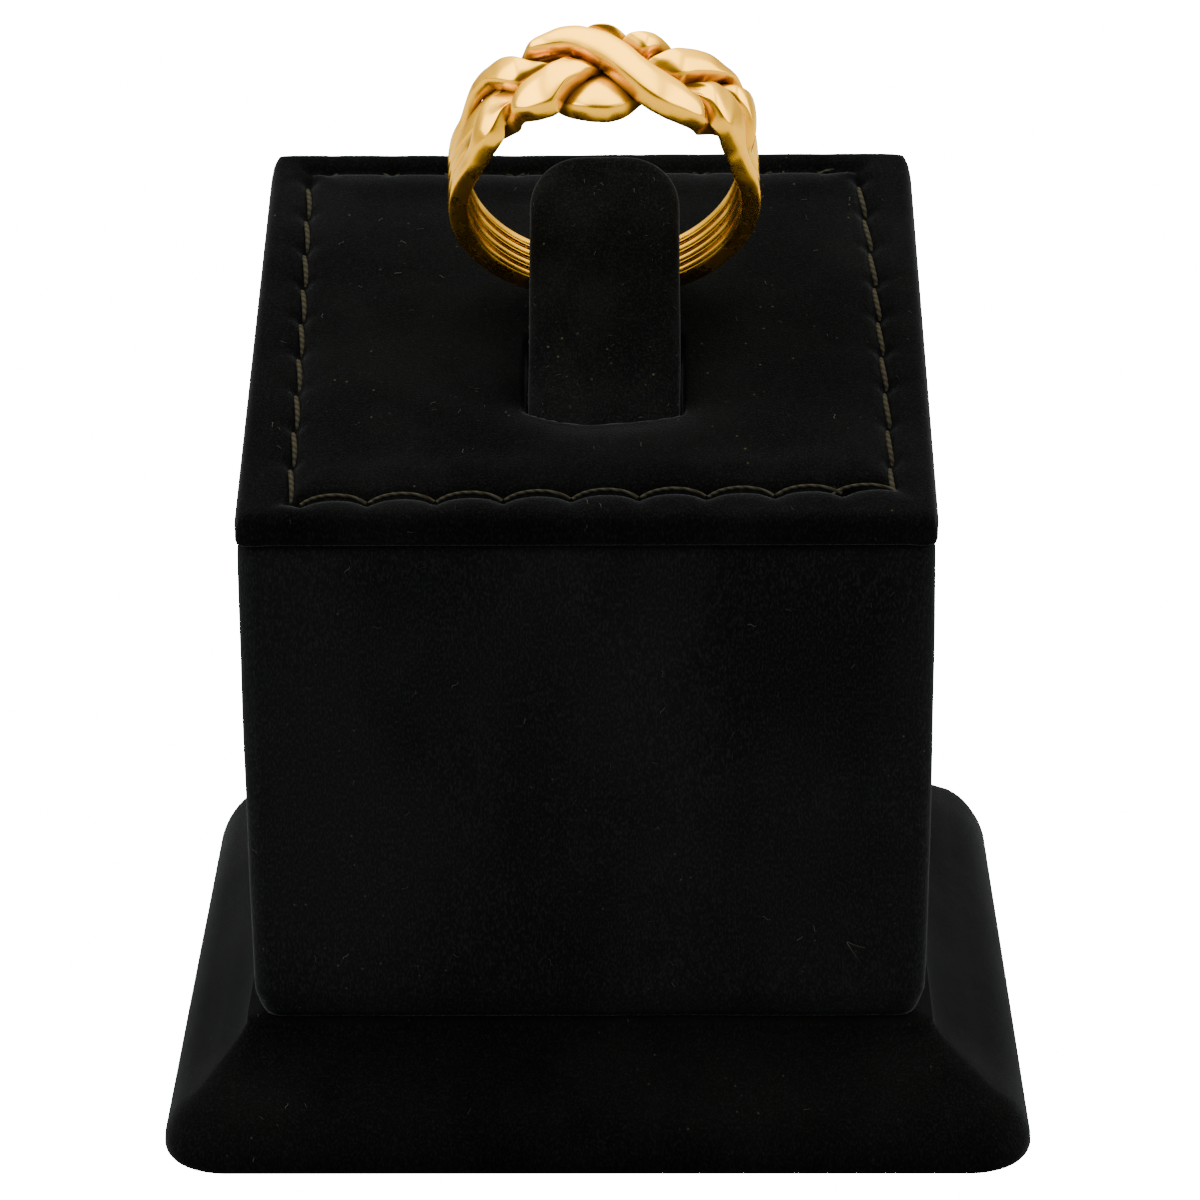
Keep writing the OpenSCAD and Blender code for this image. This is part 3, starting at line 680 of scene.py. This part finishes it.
# one table for each band: the angle in degrees, then the front and the back edge in hundredths
# of the knot's half width, then the level at the front and at the back, in hundredths
lanes = [
    [(-62, -66, -30, 10, 10), (-56, -65, -29, 20, 60), (-52, -65, -16, 40, 95), (-48, -65, 3, 55, 100),
     (-44, -61, 19, 65, 85), (-41, -51, 30, 55, 40), (-38, -35, 41, 25, 10), (-34, -16, 50, 0, 0),
     (-31, -3, 55, 0, 0), (-28, 5, 59, 0, 0), (-24, 9, 73, 0, 0), (-20, 14, 81, 0, 0),
     (-14, 26, 92, 0, 0), (-9, 50, 99, 0, 25), (-3, 66, 105, 0, 75), (1, 73, 105, 0, 80),
     (5, 75, 102, 0, 70), (9, 70, 96, 0, 20), (12, 54, 88, 0, 0), (16, 38, 75, 0, 0), (20, 26, 60, 0, 0),
     (25, 8, 50, 0, 0), (29, -12, 42, 0, 0), (34, -16, 34, 20, 20), (38, -28, 31, 85, 80),
     (41, -42, 31, 100, 90), (44, -54, 30, 95, 90), (48, -58, 23, 80, 100), (52, -59, 8, 50, 100),
     (57, -59, -4, 30, 80), (63, -62, -19, 20, 20), (72, -64, -33, 0, 0)],
    [(-66, -28, -1, 0, 0), (-60, -28, 0, 0, 0), (-55, -28, 1, 0, 0), (-50, -34, 1, 0, 0),
     (-44, -40, -6, 0, 0), (-40, -43, -16, 0, 0), (-36, -47, -19, 10, 10), (-32, -52, -10, 70, 70),
     (-28, -61, 0, 85, 95), (-24, -67, 8, 85, 100), (-20, -68, 15, 85, 100), (-17, -66, 24, 85, 100),
     (-14.5, -50, 28, 90, 95), (-12, -33, 37, 100, 80), (-8, -15, 42, 90, 30), (-4, 0, 50, 35, 0),
     (0, 10, 62, 0, 0), (4, 22, 68, 0, 20), (6, 31, 70, 5, 60), (9, 40, 79, 40, 100),
     (14, 38, 85, 100, 100), (18, 47, 87, 80, 90), (22, 54, 87, 40, 60), (25, 46, 86, 0, 40),
     (29, 32, 84, 0, 0), (34, 18, 82, 0, 0), (42, 16, 77, 0, 0), (47, 20, 76, 45, 30),
     (51, 14, 77, 90, 80), (56, 4, 65, 100, 100), (61, -12, 61, 90, 100), (65, -22, 50, 70, 80),
     (70, -30, -2, 0, 0)],
    [(-66, 2, 37, 0, 0), (-60, 2, 50, 0, 0), (-54, 3, 62, 0, 0), (-48, 5, 75, 0, 0), (-44, 15, 79, 0, 0),
     (-40, 34, 82, 0, 0), (-34, 54, 83, 0, 10), (-29, 58, 81, 0, 40), (-26, 59, 81, 40, 80),
     (-23.5, 57, 84, 90, 100), (-18, 52, 91, 100, 100), (-13, 49, 97, 100, 100), (-8, 39, 95, 100, 100),
     (-4, 25, 88, 100, 100), (1, 5, 78, 100, 100), (5, -16, 65, 100, 100), (9, -36, 49, 100, 100),
     (13, -55, 29, 100, 100), (18, -69, 11, 100, 100), (24, -74, -3, 90, 100), (29, -74, -11, 85, 95),
     (34, -71, -14, 75, 85), (38, -66, -15, 50, 55), (42, -52, -8, 8, 10), (46, -40, 10, 0, 0),
     (52, -24, 20, 0, 0), (58, -12, 30, 0, 0), (66, -1, 43, 0, 0), (72, 0, 40, 0, 0)],
    [(-68, 37, 62, 0, 0), (-62, 43, 71, 25, 40), (-56, 47, 78, 80, 70), (-50, 50, 82, 100, 90),
     (-45, 49, 85, 100, 90), (-40, 35, 85, 100, 90), (-36, 21, 82, 100, 100), (-31, 6, 72, 90, 100),
     (-27, -2, 58, 60, 90), (-24, -14, 50, 20, 60), (-20, -30, 40, 0, 40), (-17, -42, 34, 0, 10),
     (-14, -51, 28, 0, 0), (-9, -62, 24, 5, 5), (-4, -70, 22, 10, 10), (1, -72, 22, 10, 5),
     (6, -65, 26, 5, 0), (11, -49, 32, 0, 0), (15, -30, 38, 0, 10), (19, -13, 48, 15, 75),
     (22, -3, 56, 60, 100), (25, 1, 66, 90, 100), (28, 5, 71, 100, 100), (33, 20, 79, 100, 100),
     (38, 32, 84, 100, 100), (44, 46, 89, 100, 75), (50, 60, 94, 100, 45), (56, 67, 97, 75, 30),
     (62, 64, 98, 50, 15), (68, 47, 95, 25, 5), (76, 38, 78, 0, 0)]]
# the band above, the band below, and the angles between which they cross
crossings = [(0, 1, -62, -30), (0, 2, -60, -42), (3, 2, -64, -24), (3, 0, -44, -16), (2, 0, -30, 8),
             (1, 0, -30, -9), (1, 3, -32, 12), (2, 1, -12, 16), (2, 3, -8, 30), (1, 0, 2, 32),
             (3, 0, 12, 42), (3, 1, 18, 55), (0, 2, 30, 64), (0, 1, 32, 50), (1, 2, 46, 74)]
# the angle, the knot's growth and the thickness of one band, both in hundredths
swell = [(-180, 0, 100), (-78, 0, 100), (-66, 10, 94), (-60, 24, 92), (-50, 48, 92), (-38, 72, 94),
         (-20, 97, 98), (0, 100, 98), (25, 90, 96), (40, 84, 92), (52, 88, 90), (62, 82, 90),
         (70, 62, 96), (78, 30, 102), (88, 0, 100), (180, 0, 100)]
angles = np.concatenate([
    np.arange(-180, knot_from, 2.0), np.arange(knot_from, knot_to, 0.6), np.arange(knot_to, 180, 2.0)])
steps_round = np.diff(np.append(angles, 180.0))


def shank_lane(k, angle):
    """The plain lane of band k: front edge, back edge and two levels"""
    toward_top = (1 - np.cos(np.radians(180 - np.abs(angle)))) / 2
    half = (shank_w + (shoulder_w - shank_w) * toward_top) / 2
    front = half * (k / 2 - 1) + lane_clear / 2
    back = half * ((k + 1) / 2 - 1) - lane_clear / 2
    return np.column_stack([front, back, 0 * half, 0 * half])


def lane_of(k):
    """The whole lane of band k at all angles, in millimetres and shares"""
    rows = [(a, f * knot_half / 100, b * knot_half / 100, p / 100, q / 100) for a, f, b, p, q in lanes[k]]
    ends = [(a, *shank_lane(k, np.array([a]))[0]) for a in (knot_from, knot_to)]
    lane = curve_through([ends[0]] + rows + [ends[1]], angles)
    plain = (angles <= knot_from) | (angles >= knot_to)
    lane[plain] = shank_lane(k, angles[plain])
    return lane


def blurred(rows, degrees):
    """Rows evened out along the band, by a window of some degrees"""
    out = np.empty_like(rows)
    for n, a in enumerate(angles):
        gap = np.abs((angles - a + 180) % 360 - 180)
        weight = np.exp(-(gap / degrees) ** 2) * steps_round
        out[n] = (weight[:, None] * rows).sum(0) / weight.sum()
    return out


band_lanes = [lane_of(k) for k in range(4)]
growth = curve_through(swell, angles)
knot_top = band_t + (knot_high - band_t) * growth[:, 0] / 100
thick_at = band_t * growth[:, 1] / 100
thinnest, kept_share = 0.3, 0.62
ease_turn, ease_from, ease_in, shade_reach = 3, 0.42, 0.4, 1.15


def wall_heights(k, w, share):
    """Inner and outer height of band k at the places w, and how much another one shades it"""
    lane = band_lanes[k]
    split = knot_top[:, None] / 2
    low = (lane[:, 2:3] + (lane[:, 3:4] - lane[:, 2:3]) * share) * (knot_top - thick_at)[:, None]
    high = low + thick_at[:, None]
    above, below, shade = np.zeros_like(w), np.zeros_like(w), np.zeros_like(w)
    for over, under, begin, end in crossings:
        if k not in (over, under):
            continue
        other = band_lanes[under if k == over else over]
        begun = smooth_step((angles - begin) / ease_turn + 0.5)
        live = (begun * smooth_step((end - angles) / ease_turn + 0.5))[:, None]
        depth = np.minimum(w - other[:, :1], other[:, 1:2] - w)
        near = smooth_step((depth + ease_from) / ease_in) * live
        if k == over:
            above = np.maximum(above, near)
        else:
            below = np.maximum(below, near)
            # painted shade on the band below, fading out within shade_reach of the edge of the band above
            shade = np.maximum(shade, smooth_step(depth / shade_reach + 1) * live)
    floor, roof = split + cross_clear / 2, split - cross_clear / 2
    low = low + (np.maximum(low, floor) - low) * above
    high = high + (np.maximum(high, floor + kept_share * split) - high) * above
    high = high + (np.minimum(high, roof) - high) * below
    low = low + (np.maximum(np.minimum(low, roof - kept_share * split), 0) - low) * below
    spare = np.maximum(0, thinnest - high + low) / 2
    return low - spare, high + spare, shade


ring_up = (bore_r + band_t) * np.cos(ring_lean) + shank_w / 2 * np.sin(ring_lean) + rest_gap
ring_origin = on_pad(tongue_side, ring_along, ring_up)


def turned_x(a):
    return np.array([[1, 0, 0], [0, np.cos(a), -np.sin(a)], [0, np.sin(a), np.cos(a)]])


ring_axes = turned_x(pad_slope) @ turned_x(ring_lean) @ np.array(
    [[np.cos(ring_turn), -np.sin(ring_turn), 0], [np.sin(ring_turn), np.cos(ring_turn), 0], [0, 0, 1]])


def band_section(front, back, w, low, high, share):
    """One section of a band, and which of its points are worn sides and which lie outside"""
    wide, tall = back - front, (high - low).mean()
    bevel_w = min(0.16 + 0.14 * share, 0.3 * wide)
    bevel_h = (0.22 + 0.55 * share) * min(tall, 1.2)
    foot = min(0.18, 0.3 * wide, 0.2 * tall)
    arc = np.radians(np.linspace(0, 90, 8))
    across, level, side = [], [], []

    def run(places, lift, heights, worn):
        across.extend(places)
        level.extend(np.interp(places, w, heights) + lift)
        side.extend(np.full(len(places), float(worn)))

    inner = np.linspace(front + foot, back - foot, 13)
    run(inner, 0, low, 0.35)
    round_in, round_up = np.sin(arc[2::2]), 1 - np.cos(arc[2::2])
    run(back - foot + foot * round_in, foot * round_up, low, 1)
    slant_in, slant_down = (np.cos(arc) ** 1.1)[:-1], (1 - np.sin(arc) ** 1.1)[:-1]
    run(back - bevel_w + bevel_w * slant_in, -bevel_h * slant_down, high, 1)
    run(np.linspace(back - bevel_w, front + bevel_w, 19), 0, high, 0)
    run(front + bevel_w - bevel_w * slant_in[::-1], -bevel_h * slant_down[::-1], high, 1)
    run(front + foot - foot * round_in[::-1], foot * round_up[::-1], low, 1)
    section = np.column_stack([across, level])
    crown = ((section[:, 0] - front) / wide * 2 - 1) ** 2
    outer = np.arange(len(section)) >= len(inner) + len(round_in)
    section[:, 1] -= np.where(outer, 0.12 + 0.09 * share, -0.13) * crown * min(1, wide / 1.6)
    return section, np.array(side), outer


def band_piece(k, material):
    """One band as a closed loop of sections, with its painted shade and its worn sides marked"""
    lane = band_lanes[k]
    across = np.linspace(0, 1, 27)
    w = lane[:, :1] + (lane[:, 1] - lane[:, 0])[:, None] * across
    # the third value is painted shade, where another band lies over this one
    low, high, shade_over = wall_heights(k, w, across)
    low, high, shade_over = blurred(low, 1.5), blurred(high, 1.5), blurred(shade_over, 1.0)
    knot_share = np.clip(growth[:, 0] / 60, 0, 1)
    sections, painted_shade, worn = [], [], []
    for n in range(len(angles)):
        section, side, outer = band_section(lane[n, 0], lane[n, 1], w[n], low[n], high[n], knot_share[n])
        sections.append(section)
        # painted shade, kept to the outer face
        painted_shade.append(np.interp(section[:, 0], w[n], shade_over[n]) * outer)
        worn.append(side)
    even = blurred(np.array(sections).reshape(len(angles), -1), 1.0).reshape(len(angles), -1, 2)
    reach = bore_r + even[:, :, 1]
    turn = np.radians(angles)[:, None]
    local = np.stack([reach * np.sin(turn), even[:, :, 0], reach * np.cos(turn)], axis=-1)
    world_points = ring_origin + local @ ring_axes.T
    piece = loft("ring_band_%d" % (k + 1), world_points[:, ::-1], closed=True)
    for label, values in (("painted_shade", painted_shade), ("worn_side", worn)):
        mark = piece.data.attributes.new(label, "FLOAT", "POINT")
        mark.data.foreach_set("value", np.array(values)[:, ::-1].ravel())
    piece.data.materials.append(material)
    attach(piece, "root")
    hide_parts("band_%d" % (k + 1))


def wear_and_shade_group():
    """Worn polish: hairline scratches and soft dings, and painted shade that darkens and roughens the gold"""
    tree, into, out = new_group("worn_polish_painted_shade", "ShaderNodeTree", (
        ("Polished", "NodeSocketColor", (1, 1, 1, 1)), ("Painted Shade Colour", "NodeSocketColor", (0.5, 0.5, 0.5, 1)),
        ("Painted Shade Amount", "NodeSocketFloat", 0.0), ("Side Amount", "NodeSocketFloat", 0.0),
        ("Low Roughness", "NodeSocketFloat", 0.1), ("High Roughness", "NodeSocketFloat", 0.3)),
        surface_sockets)
    place = object_place(tree)
    clouds = noise(tree, place, 420.0, 4.0)
    hairs = noise(tree, place, 2600.0, 2.0, (0.2, 1, 1))
    worn = add(tree, "ShaderNodeMapRange", {
        "Value": clouds, "From Min": 0.35, "From Max": 0.75, "To Min": into["Low Roughness"],
        "To Max": into["High Roughness"]}).outputs["Result"]
    rougher_where_shaded = maths(tree, "MULTIPLY_ADD", into["Painted Shade Amount"], 0.25, worn)
    feed(tree, out, {
        "Color": blend(tree, into["Painted Shade Amount"], into["Polished"], into["Painted Shade Colour"]),
        "Roughness": maths(tree, "MULTIPLY_ADD", into["Side Amount"], 0.08, rougher_where_shaded),
        "Height": maths(tree, "MULTIPLY_ADD", hairs, 0.2, clouds)})
    return tree


# The gold is blended towards dark brown as painted shade where another band lies over it.
gold, gold_tree, gold_shader = new_material("polished_gold")
polish = add(gold_tree, "ShaderNodeGroup", {}, node_tree=wear_and_shade_group())
painted_shade_mark = add(gold_tree, "ShaderNodeAttribute", {}, attribute_name="painted_shade")
side_mark = add(gold_tree, "ShaderNodeAttribute", {}, attribute_name="worn_side")
feed(gold_tree, polish, {
    "Polished": (1.0, 0.6, 0.03, 1), "Painted Shade Colour": (0.09, 0.056, 0.008, 1), "Low Roughness": 0.15,
    "High Roughness": 0.25, "Painted Shade Amount": painted_shade_mark.outputs["Fac"],
    "Side Amount": side_mark.outputs["Fac"]})
feed(gold_tree, gold_shader, {
    "Base Color": polish.outputs["Color"], "Roughness": polish.outputs["Roughness"], "Metallic": 1.0})
bumped(gold_tree, gold_shader, polish.outputs["Height"], 0.03, 0.00002)
for k in range(4):
    band_piece(k, gold)

# The studio: a white table and a warm tent of light with a darker opening toward the camera. What
# the camera sees of both is plain white. The camera stands where the photograph's perspective
# puts it, with a long lens.
floor_mesh = bpy.data.meshes.new("table")
floor_mesh.from_pydata([(-3, -2, 0), (3, -2, 0), (3, 4, 0), (-3, 4, 0)], [], [(0, 1, 2, 3)])
table = placed("table", floor_mesh)
paper, paper_tree, paper_shader = new_material("white_paper")
paper_sight = add(paper_tree, "ShaderNodeLightPath", {}).outputs["Is Camera Ray"]
paper_white, backdrop_white = 18.0, 20.0
feed(paper_tree, paper_shader, {
    "Base Color": (0.5, 0.5, 0.5, 1), "Roughness": 0.9, "Specular IOR Level": 0.1,
    "Emission Color": (1, 1, 1, 1),
    "Emission Strength": maths(paper_tree, "MULTIPLY", paper_sight, paper_white)})
floor_mesh.materials.append(paper)

world = bpy.data.worlds.new("tent")
bpy.context.scene.world = world
world.use_nodes = True
tent = world.node_tree
tent_way = add(tent, "ShaderNodeTexCoord", {}).outputs["Generated"]
tent_height = add(tent, "ShaderNodeSeparateXYZ", {0: tent_way}).outputs["Z"]
tent_fall = add(tent, "ShaderNodeMapRange", {
    "Value": tent_height, "From Min": 0.0, "From Max": 0.95, "To Min": 0.85, "To Max": 3.6},
    interpolation_type="SMOOTHSTEP").outputs["Result"]
to_camera = (0.0, -0.77, 0.64)
tent_aim = add(tent, "ShaderNodeVectorMath", {0: tent_way, 1: to_camera}, operation="DOT_PRODUCT")
tent_opening = add(tent, "ShaderNodeMapRange", {
    "Value": tent_aim.outputs["Value"], "From Min": 0.62, "From Max": 0.9, "To Min": 1.0, "To Max": 0.08},
    interpolation_type="SMOOTHSTEP").outputs["Result"]
tent_sight = add(tent, "ShaderNodeLightPath", {}).outputs["Is Camera Ray"]
tent_glow = add(tent, "ShaderNodeMix", {
    "Factor": tent_sight, "A": maths(tent, "MULTIPLY", tent_fall, tent_opening), "B": backdrop_white})
feed(tent, tent.nodes["Background"], {
    "Color": blend(tent, tent_sight, (1.0, 0.82, 0.36, 1), (1, 1, 1, 1)),
    "Strength": tent_glow.outputs["Result"]})


def aimed(name, data, right, up, look, place):
    """A light or a camera at a place in metres, with the three ways that it is turned by"""
    thing = placed(name, data)
    rows = np.column_stack([right, up, -look, place]).tolist()
    thing.matrix_world = Matrix([*rows, [0, 0, 0, 1]])
    return thing


def softbox(name, place, size, power):
    """A warm rectangle of light that looks at the middle of the stand"""
    light = bpy.data.lights.new(name, "AREA")
    light.shape = "RECTANGLE"
    light.size, light.size_y = size
    light.energy = power
    light.color = (1.0, 0.82, 0.42)
    way = np.array([0, 0, 0.06]) - place
    way /= np.linalg.norm(way)
    side = np.cross(way, [0, 0, 1.0])
    side /= np.linalg.norm(side)
    aimed(name, light, side, np.cross(side, way), way, place)


softbox("box_left", (-0.45, 0.0, 0.35), (0.45, 0.45), 3.0)
softbox("box_right", (0.45, 0.05, 0.3), (0.4, 0.4), 2.0)
softbox("box_top", (0.0, 0.12, 0.6), (0.6, 0.4), 2.5)

pitch, yaw, roll = 0.404725, 0.011060, -0.006224
look = np.array([-np.sin(yaw) * np.cos(pitch), np.cos(yaw) * np.cos(pitch), -np.sin(pitch)])
level_right = np.array([np.cos(yaw), np.sin(yaw), 0.0])
level_up = np.cross(level_right, look)
cam_right = np.cos(roll) * level_right + np.sin(roll) * level_up
cam_up = -np.sin(roll) * level_right + np.cos(roll) * level_up
lens = bpy.data.cameras.new("camera")
lens.lens, lens.sensor_width = 134.04, 36.0
lens.clip_start, lens.clip_end = 0.01, 20.0
camera = aimed("camera", lens, cam_right, cam_up, look, (0.00329, -0.28377, 0.15202))
bpy.context.scene.camera = camera
